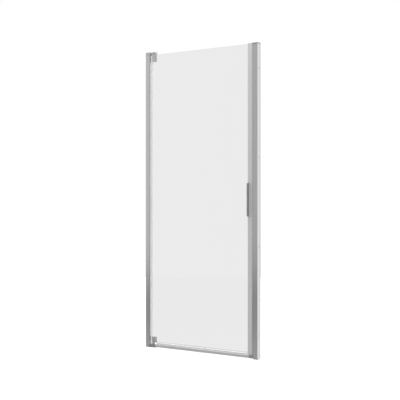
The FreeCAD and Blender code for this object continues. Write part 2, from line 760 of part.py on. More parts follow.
def bottom_bearing_block():
    """Cast block at the foot of the hinge channel, which carries the pane's weight."""
    body = new_body("bottom_bearing_block")
    inner_end = "-(web_face - post_clearance)"
    add(body, "block_shoulder", "XY", "0", "post_foot_height",
        rectangle(inner_end, "-channel_mouth", "-post_half", "post_half"))
    nose = [("-(channel_mouth + spigot_inset)", "-bearing_half_depth")]
    nose += rounded("bearing_right", "-bearing_half_depth", "bearing_corner_radius", "right", "up")
    nose += rounded("bearing_right", "bearing_half_depth", "bearing_corner_radius", "up", "left")
    nose += [("-(channel_mouth + spigot_inset)", "bearing_half_depth")]
    add(body, "block_nose", "XY", "0", "bearing_height", nose)
    add(body, "rail_plug", "YZ", "bearing_right - spigot_inset", "bearing_right + rail_plug_length",
        rail_bore("plug_clearance"))
    carve(body, "bottom_pin_bore", "XY", "pin_floor", "bearing_height",
          ("pivot_x", "0", "pin_bore"))
    carve(body, "bearing_thread", "XZ", "channel_half - side_screw_length", "post_half",
          ("side_screw_x", "side_screw_margin", "side_thread"))


# ---------------------------------------------------------------- shower-side screws

SIDE_SCREW_END = "channel_half - side_screw_length + blind_wall"


def channel_screws():
    """Hexagon screws that hold the top bracket and the bearing block in the left channel."""
    body = new_body("channel_screws")
    for name, level in (("block", "side_screw_margin"), ("bracket", "bracket_screw_level")):
        screw(body, name, "side_screw_x", level, "channel_half", SIDE_SCREW_END,
              "side_screw_diameter", hexagon("side_screw_x", level, "side_screw_flats"),
              "side_head_height")


def adjusting_screws(side):
    """Hexagon screws that fix the post of one side in its channel."""
    body = new_body("adjusting_screws_" + side)
    across = f"{SIGNS[side]} * adjusting_x"
    first = screw(body, side, across, "adjusting_screw_margin", "channel_half", SIDE_SCREW_END,
                  "side_screw_diameter", hexagon(across, "adjusting_screw_margin", "side_screw_flats"),
                  "side_head_height")
    repeat(body, side + "_row", first, "Z", "adjusting_pitch", "adjusting_screw_count")


# ---------------------------------------------------------------- pane and its seals

def glass_panel():
    """Toughened pane with a notch and a screw hole at each pivot."""
    body = new_body("glass_panel")
    outline = [
        ("notch_edge", "glass_bottom"), ("glass_right", "glass_bottom"),
        ("glass_right", "glass_top"), ("notch_edge", "glass_top"), ("notch_edge", "top_notch"),
        ("glass_left", "top_notch"), ("glass_left", "bottom_notch"), ("notch_edge", "bottom_notch")]
    add(body, "pane", "XZ", "-glass_half", "glass_half", outline)
    for name in CLAMPS:
        carve(body, name + "_glass_hole", "XZ", "-glass_half", "glass_half",
              ("clamp_screw_x", CLAMPS[name]["glass_screw"], "glass_hole_diameter"))


def hinge_seal():
    """Clear seal on the hinge edge; its nose runs round the pivot axis inside the cove."""
    body = new_body("hinge_seal")
    leg_end = "glass_left + seal_leg_length"
    lower = [("seal_nose", "-seal_half"), (leg_end, "-seal_half"), (leg_end, "-glass_half"),
             ("glass_left", "-glass_half")]
    section = lower + [("glass_left", "glass_half"), (leg_end, "glass_half"),
                       (leg_end, "seal_half"), ("seal_nose", "seal_half", "seal_radius", 1)]
    add(body, "hinge_seal_section", "XY", "seal_bottom", "seal_top", section)


def drip_seal():
    """Clear seal under the pane, with a skirt outside and a lip that slants into the shower."""
    body = new_body("drip_seal")
    leg_top = "glass_bottom + drip_leg_height"
    root = "drip_floor - drip_web"
    lip_out = "glass_half + drip_lip_reach"
    section = [
        ("-seal_half", leg_top), ("-seal_half", "drip_bottom"), ("-glass_half", "drip_bottom"),
        ("-glass_half", root), ("glass_half - drip_web", root),
        (lip_out, "drip_bottom + drip_web"), (f"{lip_out} + drip_web", "drip_bottom + 2 * drip_web"),
        ("seal_half", "drip_floor"), ("seal_half", leg_top), ("glass_half", leg_top),
        ("glass_half", "glass_bottom"), ("-glass_half", "glass_bottom"), ("-glass_half", leg_top)]
    add(body, "drip_seal_section", "YZ", "clamp_right + seal_end_gap",
        "closing_left - gasket_bead - seal_end_gap", section)


# ---------------------------------------------------------------- closing profile

def closing_profile():
    """Hollow profile on the closing edge, with a pocket for the pane and a magnet slot."""
    body = new_body("closing_profile")
    section = rounded("closing_left", "-closing_half", "closing_radius", "down", "right")
    section += rounded("closing_right", "-closing_half", "closing_radius", "right", "up")
    section += slot_walls("closing_right", "-")
    section += rounded("closing_right", "closing_half", "closing_radius", "up", "left")
    section += rounded("closing_left", "closing_half", "closing_radius", "left", "down")
    section += [("closing_left", "pocket_half"), ("pocket_end", "pocket_half"),
                ("pocket_end", "-pocket_half"), ("closing_left", "-pocket_half")]
    chamber = rectangle("chamber_left", "chamber_right", "-chamber_half", "chamber_half")
    cheek = ("closing_left + closing_wall", "pocket_end")
    near, far = "pocket_half + closing_wall", "chamber_half"
    add(body, "closing_section", "XY", "closing_bottom", "glass_top", section, chamber,
        rectangle(*cheek, near, far), rectangle(*cheek, f"-({far})", f"-({near})"))
    hole = carve(body, "handle_hole", "XZ", "-closing_half", "closing_half",
                 ("handle_screw_x", "handle_screw_low", "handle_screw_bore"))
    repeat(body, "handle_holes", [hole], "Z", "handle_screw_pitch", "2")


def closing_gasket():
    """Soft channel between the pane and the pocket of the closing profile."""
    body = new_body("closing_gasket")
    bead, bead_half = "closing_left - gasket_bead", "pocket_half + gasket_bead"
    lower = [(bead, f"-({bead_half})"), ("closing_left", f"-({bead_half})"),
             ("closing_left", "-pocket_half"), ("pocket_end", "-pocket_half")]
    upper = [(across, "-(" + up + ")") for across, up in reversed(lower)]
    inside = [(bead, "glass_half"), ("glass_right", "glass_half"),
              ("glass_right", "-glass_half"), (bead, "-glass_half")]
    add(body, "closing_gasket_section", "XY", "closing_bottom", "glass_top", lower + upper + inside)


def closing_cap(place):
    """Moulded cap on one end of the closing profile, plugged into its chamber."""
    body = new_body("closing_cap_" + place)
    if place == "top":
        plate = ("glass_top", "glass_top + end_cap_thickness")
        plug = ("glass_top - slot_mouth", "glass_top")
    else:
        plate = ("closing_bottom - end_cap_thickness", "closing_bottom")
        plug = ("closing_bottom", "closing_bottom + slot_mouth")
    add(body, place + "_cap_plate", "XY", *plate,
        rectangle("closing_left + cap_inset", "closing_right - cap_inset",
                  "-(closing_half - cap_inset)", "closing_half - cap_inset"))
    add(body, place + "_cap_plug", "XY", *plug,
        rectangle("chamber_left + plug_clearance", "chamber_right - plug_clearance",
                  "-(chamber_half - plug_clearance)", "chamber_half - plug_clearance"))


# ---------------------------------------------------------------- handles

def handle(place):
    """Blade handle that stands square to the door on a narrow foot."""
    body = new_body("handle_" + place)
    way = -1 if place == "outer" else 1
    blade_right = "blade_left + blade_thickness"
    foot_right = "blade_left + handle_foot_width"
    tip, foot = "(closing_half + blade_stand)", "(closing_half + handle_foot_thickness)"
    rise = "down" if way == -1 else "up"
    fall = "up" if way == -1 else "down"
    section = [("blade_left", f"{way} * closing_half")]
    section += rounded("blade_left", f"{way} * {tip}", "blade_tip_radius", rise, "right")
    section += rounded(blade_right, f"{way} * {tip}", "blade_tip_radius", "right", fall)
    section += [(blade_right, f"{way} * {foot}"), (foot_right, f"{way} * {foot}"),
                (foot_right, f"{way} * closing_half")]
    add(body, place + "_blade", "XY", "handle_bottom", "handle_top", section)
    for end, level, inward in (("low", "handle_bottom", 1), ("high", "handle_top", -1)):
        corner = [(f"{way} * {tip}", level),
                  (f"{way} * ({tip} - blade_end_radius)", level, "blade_end_radius", way * inward),
                  (f"{way} * {tip}", f"{level} + {inward} * blade_end_radius")]
        carve(body, f"{place}_{end}_corner", "YZ", "blade_left", blade_right, corner)
    if place == "outer":
        span = ("-(closing_half + handle_foot_thickness - handle_blind_wall)", "-closing_half")
        bore = "handle_screw_diameter + 2 * press_clearance"
    else:
        span = ("closing_half", "closing_half + handle_foot_thickness")
        bore = "handle_screw_bore"
    for end, level in (("low", "handle_screw_low"),
                       ("high", "handle_screw_low + handle_screw_pitch")):
        carve(body, f"{place}_{end}_bore", "XZ", *span, ("handle_screw_x", level, bore))


def handle_screws():
    """Two screws that run through the closing profile and tie the handles together."""
    body = new_body("handle_screws")
    face = "closing_half + handle_foot_thickness"
    first = screw(body, "handle_screw", "handle_screw_x", "handle_screw_low", face,
                  f"-({face} - 2 * handle_blind_wall)", "handle_screw_diameter",
                  "handle_screw_head", "handle_head_height")
    repeat(body, "handle_screw_pair", first, "Z", "handle_screw_pitch", "2")


# ---------------------------------------------------------------- threshold

def rail_bore(gap):
    """Outline of the hollow in the threshold rail, smaller by a gap all round."""
    half = f"(rail_inside_half - {gap})"
    low, high = f"(rail_base + rail_wall + {gap})", f"(rail_top - rail_wall - {gap})"
    heel = f"(rail_heel - rail_wall - {gap})"
    return [(f"-{half}", low), (half, low), (half, heel),
            (f"{half} - ({high} - {heel}) / rail_slope", high), (f"-{half}", high)]


def threshold_rail():
    """Low rail across the opening, whose shower side slopes so that water runs back."""
    body = new_body("threshold_rail")
    section = [("-rail_half_depth", "rail_base"), ("rail_half_depth", "rail_base"),
               ("rail_half_depth", "rail_heel"), ("rail_shelf", "rail_top")]
    section += rounded("-rail_half_depth", "rail_top", "rail_edge_radius", "left", "down")
    add(body, "rail_section", "YZ", "bearing_right", "rail_right", section, rail_bore("0"))


def threshold_seal():
    """Pale soft strip that seals the rail to the tray."""
    body = new_body("threshold_seal")
    half = "(rail_half_depth - base_seal_inset)"
    foot = f"({half} - base_seal_foot)"
    arch = f"({foot} - base_seal_taper)"
    section = [(f"-{half}", "0"), (f"-{foot}", "0"), (f"-{arch}", "base_seal_arch"),
               (arch, "base_seal_arch"), (foot, "0"), (half, "0"),
               (half, "rail_base"), (f"-{half}", "rail_base")]
    add(body, "base_seal_section", "YZ", "bearing_right", "rail_right", section)


def threshold_end():
    """Moulded plug that ends the rail inside the right channel."""
    body = new_body("threshold_end")
    add(body, "end_block", "YZ", "rail_right", "web_face - plug_clearance",
        [("-rail_half_depth", "0"), ("rail_half_depth", "0"), ("rail_half_depth", "rail_heel"),
         ("rail_shelf", "rail_top"), ("-rail_half_depth", "rail_top")])
    add(body, "end_plug", "YZ", "rail_right - rail_plug_length", "rail_right",
        rail_bore("plug_clearance"))


# ---------------------------------------------------------------- assembly

for channel_side in ("left", "right"):
    wall_channel(channel_side)
    adjusting_screws(channel_side)
hinge_post()
strike_post()
magnet_strip("strike_magnet", "strike_nose", "+", "-", "(door_magnet_nose + magnet_gap)",
             "post_foot_height", "channel_length")
channel_cap_right()
channel_screws()
top_bracket()
pinch_screw()
pivot_pin("top_pin", "top_pin_bottom", "top_pin_top")
bottom_bearing_block()
pivot_pin("bottom_pin", "pin_floor", "bottom_pin_top")
bush("top_bush", "knuckle_bottom - bush_stand", "top_bush_top")
bush("bottom_bush", "boss_bottom - bush_stand", "bottom_bush_top")
for clamp_name in CLAMPS:
    clamp_body(clamp_name)
    clamp_cover(clamp_name)
    for gasket_place in ("outer", "inner"):
        clamp_gasket(clamp_name, gasket_place)
clamp_screws()
glass_panel()
hinge_seal()
drip_seal()
closing_profile()
closing_gasket()
magnet_strip("door_magnet", "closing_right", "-", "+", "door_magnet_nose",
             "closing_bottom", "glass_top")
for cap_place in ("top", "bottom"):
    closing_cap(cap_place)
for handle_place in ("outer", "inner"):
    handle(handle_place)
handle_screws()
threshold_rail()
threshold_seal()
threshold_end()
doc.recompute()

# ---------------------------------------------------------------- checks and export

for item in doc.Objects:
    if "Invalid" in item.State or "Error" in item.State:
        raise RuntimeError(f"{item.Name} failed: {item.State}")
for pocket in [item for item in doc.Objects if item.isDerivedFrom("PartDesign::Pocket")]:
    if pocket.Shape.Volume >= pocket.BaseFeature.Shape.Volume - 1e-3:
        raise RuntimeError(f"{pocket.Name} takes nothing away")

os.makedirs("parts", exist_ok=True)
pieces = [item for item in doc.Objects if item.isDerivedFrom("PartDesign::Body")]
for piece in pieces:
    if piece.Shape.isNull() or not piece.Shape.isValid():
        raise RuntimeError(f"{piece.Label} has no valid shape")
for piece in pieces:
    piece.Shape.exportStep(f"parts/{piece.Label}.step")
print(f"{len(pieces)} pieces written")
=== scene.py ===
import math

import bpy
import bmesh
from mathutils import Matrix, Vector


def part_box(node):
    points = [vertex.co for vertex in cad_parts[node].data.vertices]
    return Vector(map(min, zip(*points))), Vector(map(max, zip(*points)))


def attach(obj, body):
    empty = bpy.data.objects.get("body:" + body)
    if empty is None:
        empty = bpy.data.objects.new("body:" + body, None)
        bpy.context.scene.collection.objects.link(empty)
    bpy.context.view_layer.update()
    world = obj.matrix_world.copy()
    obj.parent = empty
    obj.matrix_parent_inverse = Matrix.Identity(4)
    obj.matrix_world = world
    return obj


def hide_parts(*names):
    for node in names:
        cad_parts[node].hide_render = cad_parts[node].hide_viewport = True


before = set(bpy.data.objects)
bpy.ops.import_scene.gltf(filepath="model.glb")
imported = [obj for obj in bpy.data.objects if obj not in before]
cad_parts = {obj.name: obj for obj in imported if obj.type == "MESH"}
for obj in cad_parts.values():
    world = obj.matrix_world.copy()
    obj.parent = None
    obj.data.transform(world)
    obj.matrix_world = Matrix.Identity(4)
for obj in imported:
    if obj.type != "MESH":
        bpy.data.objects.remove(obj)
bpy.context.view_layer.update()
bpy.ops.object.select_all(action="DESELECT")

# ------------------------------------------------------------------ wall channels and posts
# U channels screwed to the walls and the posts that slide in them, all extruded aluminium
# with a bright anodised finish. The press leaves faint lines along their length.

MM = 0.001
LINES_UPRIGHT = (700, 700, 3)


def new_finish(name):
    """A material, its node tree and its Principled shader."""
    finish = bpy.data.materials.new(name)
    finish.use_nodes = True
    return finish, finish.node_tree, finish.node_tree.nodes["Principled BSDF"]


def paint(node_names, finish):
    """Give CAD nodes their finish."""
    for node_name in node_names:
        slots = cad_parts[node_name].data.materials
        slots.clear()
        slots.append(finish)


def add_node(tree, kind, values):
    """A new node of a finish, with the values that its inputs start from."""
    node = tree.nodes.new(kind)
    for socket, value in values.items():
        node.inputs[socket].default_value = value
    return node


def noise(tree, scale, detail):
    """Noise fixed to the piece. A scale that differs by axis draws it out into lines."""
    place = tree.nodes.new("ShaderNodeTexCoord")
    stretch = add_node(tree, "ShaderNodeMapping", {"Scale": scale})
    tree.links.new(place.outputs["Object"], stretch.inputs["Vector"])
    pattern = add_node(tree, "ShaderNodeTexNoise", {"Scale": 1.0, "Detail": detail})
    tree.links.new(stretch.outputs["Vector"], pattern.inputs["Vector"])
    return pattern.outputs["Fac"]


def spread(tree, source, low, high, start=0.0, end=1.0):
    """A source's values from start to end, spread over the range from low to high."""
    span = add_node(tree, "ShaderNodeMapRange",
                    {"From Min": start, "From Max": end, "To Min": low, "To Max": high})
    tree.links.new(source, span.inputs["Value"])
    return span.outputs["Result"]


def emboss(tree, pattern, strength, depth, shader):
    """Raise a pattern a little on the surface."""
    relief = add_node(tree, "ShaderNodeBump", {"Strength": strength, "Distance": depth})
    tree.links.new(pattern, relief.inputs["Height"])
    tree.links.new(relief.outputs["Normal"], shader.inputs["Normal"])


def extruded_aluminium(name, tone, roughness, line_scale, metallic=1.0):
    """Bright aluminium whose fine lines run along the axis that has the small scale."""
    finish, tree, shader = new_finish(name)
    shader.inputs["Metallic"].default_value = metallic
    lines = noise(tree, line_scale, 6.0)
    tree.links.new(spread(tree, lines, tone * 0.94, tone * 1.06, 0.3, 0.7), shader.inputs["Base Color"])
    gloss = spread(tree, lines, roughness * 0.8, roughness * 1.25, 0.3, 0.7)
    tree.links.new(gloss, shader.inputs["Roughness"])
    emboss(tree, lines, 0.04, 0.2 * MM, shader)
    return finish


upright_aluminium = extruded_aluminium("upright_aluminium", 0.72, 0.2, LINES_UPRIGHT)
paint(["wall_channel_left", "wall_channel_right", "hinge_post", "strike_post"], upright_aluminium)

# ------------------------------------------------------------------ wall channel screws
# Hexagon screws of stainless steel fix the posts, the bracket and the bearing block to the
# channels from the shower side. A small moulded cap snaps over each screw of the posts.


def turned_steel(name, tone, roughness):
    """Stainless steel with the fine scatter of a turned and tumbled part."""
    finish, tree, shader = new_finish(name)
    shader.inputs["Metallic"].default_value = 1.0
    shader.inputs["Roughness"].default_value = roughness
    mottle = noise(tree, (900, 900, 900), 3.0)
    tree.links.new(spread(tree, mottle, tone * 0.9, tone * 1.1), shader.inputs["Base Color"])
    return finish


def moulded_plastic(name, tone, roughness, grain_size):
    """Grey plastic with the faint spark-eroded grain of its mould, its size given in mm."""
    finish, tree, shader = new_finish(name)
    shader.inputs["Roughness"].default_value = roughness
    shader.inputs["Specular IOR Level"].default_value = 0.4
    place = tree.nodes.new("ShaderNodeTexCoord")
    cells = add_node(tree, "ShaderNodeTexVoronoi", {"Scale": 1 / (grain_size * MM)})
    tree.links.new(place.outputs["Object"], cells.inputs["Vector"])
    grain = cells.outputs["Distance"]
    tree.links.new(spread(tree, grain, tone * 0.95, tone * 1.05), shader.inputs["Base Color"])
    emboss(tree, grain, 0.15, 0.05 * MM, shader)
    return finish


def choose_faces(mesh, test):
    """Select in edit mode the faces for which the test holds, and nothing else."""
    bpy.ops.mesh.select_mode(type="FACE")
    bpy.ops.mesh.select_all(action="DESELECT")
    work = bmesh.from_edit_mesh(mesh)
    for face in work.faces:
        face.select = test(face)
    work.select_flush(True)
    bmesh.update_edit_mesh(mesh)


def facing(x, y, z):
    """A test that holds for faces that look in a direction."""
    return lambda face: face.normal.dot(Vector((x, y, z))) > 0.9


def settle(piece, finish, body):
    """Move a finished piece's place into its mesh, dress it and let it ride."""
    bpy.ops.object.transform_apply(location=True, rotation=True, scale=True)
    piece.data.materials.clear()
    piece.data.materials.append(finish)
    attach(piece, body)
    piece.select_set(False)


def copy_piece(piece, name, step):
    """Copy a finished piece, with a mesh of its own, by a step in metres."""
    twin = piece.copy()
    twin.name = name
    twin.data = piece.data.copy()
    twin.data.name = name
    bpy.context.scene.collection.objects.link(twin)
    for vertex in twin.data.vertices:
        vertex.co += Vector(step)


def disc(name, centre, radius, depth, sides):
    """A disc with its axis along Y, its near face at the centre given and its body beyond it."""
    bpy.ops.mesh.primitive_cylinder_add(
        vertices=sides, radius=radius, depth=depth, rotation=(math.radians(-90), 0, 0),
        location=(centre[0], centre[1] + depth / 2, centre[2]))
    piece = bpy.context.active_object
    piece.name = name
    piece.data.name = name
    bpy.ops.object.transform_apply(location=True, rotation=True, scale=True)
    return piece


screw_steel = turned_steel("screw_steel", 0.45, 0.3)
paint(["channel_screws", "adjusting_screws_left", "adjusting_screws_right"], screw_steel)
cap_grey = moulded_plastic("cap_grey", 0.30, 0.42, 0.4)

cap_radius = 6.5 * MM
cap_depth = 4.6 * MM
cap_rounding = 1.4 * MM
cap_wall = 1.2 * MM
cap_hollow = 3.2 * MM
channel_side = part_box("wall_channel_left")[1].y
screws_low, screws_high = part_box("adjusting_screws_left")
head_half_height = (screws_high.x - screws_low.x) / math.sqrt(3)
screw_x = (screws_low.x + screws_high.x) / 2
low_screw = screws_low.z + head_half_height
screw_rise = screws_high.z - screws_low.z - 2 * head_half_height

cap = disc("screw_cap_left_low", (screw_x, channel_side, low_screw), cap_radius, cap_depth, 32)
bpy.ops.object.mode_set(mode="EDIT")
choose_faces(cap.data, facing(0, 1, 0))
bpy.ops.mesh.bevel(offset=cap_rounding, segments=4, affect="EDGES")
choose_faces(cap.data, facing(0, -1, 0))
bpy.ops.mesh.inset(thickness=cap_wall)
bpy.ops.mesh.extrude_region_move(TRANSFORM_OT_translate={"value": (0, cap_hollow, 0)})
bpy.ops.object.mode_set(mode="OBJECT")
bpy.ops.object.shade_smooth_by_angle(angle=math.radians(40))
settle(cap, cap_grey, "frame")
copy_piece(cap, "screw_cap_left_high", (0, 0, screw_rise))
copy_piece(cap, "screw_cap_right_low", (-2 * screw_x, 0, 0))
copy_piece(cap, "screw_cap_right_high", (-2 * screw_x, 0, screw_rise))

# ------------------------------------------------------------------ top bracket and cap
# A cast bracket sits on the left channel and carries the upper pivot on its arm. It is zinc,
# plated to match the aluminium. A cap of the same look closes the right channel.


def plated_casting(name, tone, roughness, metallic):
    """Satin plated zinc: soft waves of the casting under a fine blasted grain."""
    finish, tree, shader = new_finish(name)
    shader.inputs["Metallic"].default_value = metallic
    waves = noise(tree, (60, 60, 60), 2.0)
    tree.links.new(spread(tree, waves, tone * 0.9, tone * 1.1), shader.inputs["Base Color"])
    grain = noise(tree, (2500, 2500, 2500), 2.0)
    tree.links.new(spread(tree, grain, roughness * 0.8, roughness * 1.2), shader.inputs["Roughness"])
    emboss(tree, grain, 0.1, 0.05 * MM, shader)
    return finish


def ease_edges(node_name, name, width, finish, body, segments=3):
    """A piece with the form of a CAD node and edges rounded by a width in mm, which stands for it."""
    piece = bpy.data.objects.new(name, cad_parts[node_name].data.copy())
    piece.data.name = name
    bpy.context.scene.collection.objects.link(piece)
    piece.select_set(True)
    bpy.context.view_layer.objects.active = piece
    bpy.ops.object.mode_set(mode="EDIT")
    bpy.ops.mesh.select_all(action="SELECT")
    bpy.ops.mesh.remove_doubles(threshold=0.01 * MM)
    bpy.ops.mesh.dissolve_limited(angle_limit=math.radians(2))
    bpy.ops.object.mode_set(mode="OBJECT")
    easing = piece.modifiers.new("easing", "BEVEL")
    easing.width = width * MM
    easing.segments = segments
    easing.limit_method = "ANGLE"
    easing.angle_limit = math.radians(50)
    bpy.ops.object.modifier_apply(modifier=easing.name)
    bpy.ops.object.shade_smooth_by_angle(angle=math.radians(40))
    evening = piece.modifiers.new("evening", "WEIGHTED_NORMAL")
    evening.keep_sharp = True
    bpy.ops.object.modifier_apply(modifier=evening.name)
    settle(piece, finish, body)
    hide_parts(node_name)
    return piece


plated_zinc = plated_casting("plated_zinc", 0.60, 0.3, 0.8)
ease_edges("top_bracket", "top_bracket_casting", 0.5, plated_zinc, "frame")
silver_cap = plated_casting("silver_cap", 0.50, 0.3, 1.0)
ease_edges("channel_cap_right", "right_channel_cap", 0.5, silver_cap, "frame")

# The pinch screw that closes the slit knuckle is a socket screw, sunk in its seat. Its steel is given a
# near-black tone, which makes the knuckle's top right corner dark.
knuckle_steel = turned_steel("knuckle_steel", 0.14, 0.35)
paint(["pinch_screw"], knuckle_steel)

# ------------------------------------------------------------------ pivots
# Hardened pins turn in bushes of pale plastic, one pair above and one below the pane. The
# knuckle and the lower clamp's boss hold the bushes.

pin_steel = turned_steel("pin_steel", 0.5, 0.2)
paint(["top_pin", "bottom_pin"], pin_steel)
bush_plastic = moulded_plastic("bush_plastic", 0.75, 0.5, 0.5)
paint(["top_bush", "bottom_bush"], bush_plastic)

# ------------------------------------------------------------------ bearing block
# A coated casting at the foot of the left channel. The lower pin stands in it, and its tongue
# plugs into the threshold rail. The part inside the channel's mouth is plated like the clamps.


def second_finish(piece, finish, test):
    """Give a second finish to the faces of a piece for which the test holds."""
    piece.data.materials.append(finish)
    for face in piece.data.polygons:
        if test(face):
            face.material_index = 1


block_grey_and_clamp_shade = plated_casting("block_grey_and_clamp_shade", 0.44, 0.38, 0.9)
block = ease_edges("bottom_bearing_block", "bearing_block_casting", 0.6, block_grey_and_clamp_shade,
                   "frame")
plated_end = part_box("wall_channel_left")[1].x + 1 * MM
second_finish(block, plated_zinc, lambda face: face.center.x < plated_end)

# ------------------------------------------------------------------ clamps on the pane
# Two halves of plated zinc grip the pane at each pivot, over soft pads, and are drawn together
# by button-head socket screws from the shower side. The outer half's side towards the pane gets the
# bearing block's darker grey as painted shade.

for end in ("top", "bottom"):
    outer_half = ease_edges(end + "_clamp_body", end + "_clamp_outer_half", 1.0, plated_zinc,
                            "door")
    # Painted shade: the outer half's faces that look along the pane take the block's darker grey.
    second_finish(outer_half, block_grey_and_clamp_shade, facing(1, 0, 0))
    ease_edges(end + "_clamp_cover", end + "_clamp_inner_half", 1.0, plated_zinc,
               "door")

pad_plastic = moulded_plastic("pad_plastic", 0.66, 0.5, 0.3)
paint(["top_gasket_outer", "top_gasket_inner", "bottom_gasket_outer", "bottom_gasket_inner"],
      pad_plastic)
bright_screw = turned_steel("bright_screw", 0.62, 0.22)


def socket_screw(name, centre, head_radius, head_height, shank_radius, length, stands_for):
    """Button-head screw with a hexagon socket, its head on a face that looks into the shower."""
    piece = disc(name, centre, head_radius, head_height, 48)
    bpy.ops.object.mode_set(mode="EDIT")
    choose_faces(piece.data, facing(0, -1, 0))
    bpy.ops.mesh.inset(thickness=head_radius - shank_radius)
    bpy.ops.mesh.extrude_region_move(TRANSFORM_OT_translate={"value": (0, -length, 0)})
    choose_faces(piece.data, facing(0, 1, 0))
    bpy.ops.mesh.bevel(offset=0.55 * head_height, segments=5, affect="EDGES")
    bpy.ops.object.mode_set(mode="OBJECT")
    key = disc("socket_key", (centre[0], centre[1] + 0.4 * head_height, centre[2]),
               0.38 * head_radius, head_height, 6)
    socket = piece.modifiers.new("socket", "BOOLEAN")
    socket.object = key
    piece.select_set(True)
    bpy.context.view_layer.objects.active = piece
    bpy.ops.object.modifier_apply(modifier=socket.name)
    bpy.data.objects.remove(key)
    bpy.ops.object.shade_smooth_by_angle(angle=math.radians(35))
    settle(piece, bright_screw, "door")
    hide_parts(stands_for)


clamp_shank = 2.5 * MM
top_screw_spacing = 26 * MM
bottom_screw_spacing = 19.5 * MM
cover_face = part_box("top_clamp_cover")[1].y
screws_low, screws_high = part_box("clamp_screws")
clamp_head = (screws_high.x - screws_low.x) / 2
clamp_screw_x = (screws_low.x + screws_high.x) / 2
foot_screw = screws_low.z + clamp_head
top_screw = screws_high.z - clamp_head
for name, level in (("clamp_screw_bottom_core", foot_screw),
                    ("clamp_screw_bottom_glass", foot_screw + bottom_screw_spacing),
                    ("clamp_screw_top_glass", top_screw - top_screw_spacing),
                    ("clamp_screw_top_core", top_screw)):
    socket_screw(name, (clamp_screw_x, cover_face, level), clamp_head, screws_high.y - cover_face,
                 clamp_shank, cover_face - screws_low.y, "clamp_screws")

# ------------------------------------------------------------------ pane
# One sheet of clear toughened glass, 6 mm thick, with ground and polished edges. Its corners
# are notched for the clamps. Light for shadows and mirror images passes it without bending.

clear_glass, tree, shader = new_finish("clear_toughened_glass")
shader.inputs["Base Color"].default_value = (0.775, 0.775, 0.775, 1)
shader.inputs["Transmission Weight"].default_value = 1.0
shader.inputs["Roughness"].default_value = 0.0
shader.inputs["IOR"].default_value = 1.5


def combine(tree, operation, first, second):
    """One value worked out from two."""
    result = tree.nodes.new("ShaderNodeMath")
    result.operation = operation
    tree.links.new(first, result.inputs[0])
    tree.links.new(second, result.inputs[1])
    return result.outputs["Value"]


def mix_shaders(tree, share, first, second):
    """The first shader, or the second where the share is 1."""
    mixing = tree.nodes.new("ShaderNodeMixShader")
    tree.links.new(share, mixing.inputs["Fac"])
    tree.links.new(first, mixing.inputs[1])
    tree.links.new(second, mixing.inputs[2])
    return mixing.outputs["Shader"]


ray = tree.nodes.new("ShaderNodeLightPath")
straight_on = combine(tree, "MAXIMUM", ray.outputs["Is Shadow Ray"], ray.outputs["Is Glossy Ray"])
passing = add_node(tree, "ShaderNodeBsdfTransparent", {"Color": (0.96, 0.96, 0.96, 1)})
pane_surface = mix_shaders(tree, straight_on, shader.outputs["BSDF"], passing.outputs["BSDF"])
tree.links.new(pane_surface, tree.nodes["Material Output"].inputs["Surface"])
ease_edges("glass_panel", "glass_pane", 0.6, clear_glass, "door", segments=2)

# ------------------------------------------------------------------ seals on the pane
# Clear extruded strips of soft plastic are pushed on the hinge edge and the lower edge of the
# pane. The lower one is milkier, most of all in its lip, which sheds water into the tray.

LINES_LEVEL = (4, 900, 900)


def clear_strip(name, tone, roughness, cover, line_scale):
    """Clear soft plastic with faint streaks along its length; cover is how much it hides."""
    finish, tree, shader = new_finish(name)
    shader.inputs["Base Color"].default_value = (tone, tone, tone, 1)
    shader.inputs["IOR"].default_value = 1.45
    streaks = noise(tree, line_scale, 2.0)
    gloss = spread(tree, streaks, roughness * 0.7, roughness * 1.3)
    tree.links.new(gloss, shader.inputs["Roughness"])
    tree.links.new(spread(tree, streaks, cover * 0.85, cover * 1.15), shader.inputs["Alpha"])
    return finish


def position(tree, axis, space):
    """A place's distance along one axis."""
    place = tree.nodes.new("ShaderNodeTexCoord")
    parts = tree.nodes.new("ShaderNodeSeparateXYZ")
    tree.links.new(place.outputs[space], parts.inputs["Vector"])
    return parts.outputs[axis]


clear_seal = clear_strip("clear_seal", 0.95, 0.2, 0.07, (900, 900, 4))
paint(["hinge_seal"], clear_seal)

# Its lip hides three times as much as the strip's own cover, and its legs less.
milky_seal = clear_strip("milky_seal", 0.62, 0.3, 0.14, LINES_LEVEL)
tree = milky_seal.node_tree
lip_level, leg_level = 27 * MM, 34 * MM
lip_cover, leg_cover = 3.0, 0.65
alpha = tree.nodes["Principled BSDF"].inputs["Alpha"]
thickness = spread(tree, position(tree, "Z", "Object"), lip_cover, leg_cover, lip_level, leg_level)
tree.links.new(combine(tree, "MULTIPLY", alpha.links[0].from_socket, thickness), alpha)
paint(["drip_seal"], milky_seal)

# ------------------------------------------------------------------ closing profile
# A hollow aluminium profile is pressed on the closing edge over a soft gasket. A magnet strip
# in its slot pulls the door to the strip on the post, and moulded caps close its ends.

satin_aluminium = extruded_aluminium("satin_aluminium", 0.64, 0.45, LINES_UPRIGHT, 0.15)
paint(["closing_profile"], satin_aluminium)
pad_grey = moulded_plastic("pad_grey", 0.25, 0.7, 0.3)
paint(["closing_gasket"], pad_grey)
magnet_grey = moulded_plastic("magnet_grey", 0.55, 0.55, 0.6)
paint(["door_magnet", "strike_magnet"], magnet_grey)
for end in ("top", "bottom"):
    ease_edges("closing_cap_" + end, "closing_end_cap_" + end, 0.3, cap_grey, "door")


def cuboid(name, centre, size):
    """A block to be shaped further."""
    bpy.ops.mesh.primitive_cube_add(size=1, location=centre)
    piece = bpy.context.active_object
    piece.name = name
    piece.data.name = name
    piece.scale = size
    bpy.ops.object.transform_apply(location=True, rotation=True, scale=True)
    return piece


def round_edges(piece, width):
    """Round all edges of a piece that is ready otherwise."""
    rounding = piece.modifiers.new("rounding", "BEVEL")
    rounding.width = width
    rounding.segments = 3
    bpy.ops.object.modifier_apply(modifier=rounding.name)
    bpy.ops.object.shade_smooth_by_angle(angle=math.radians(40))


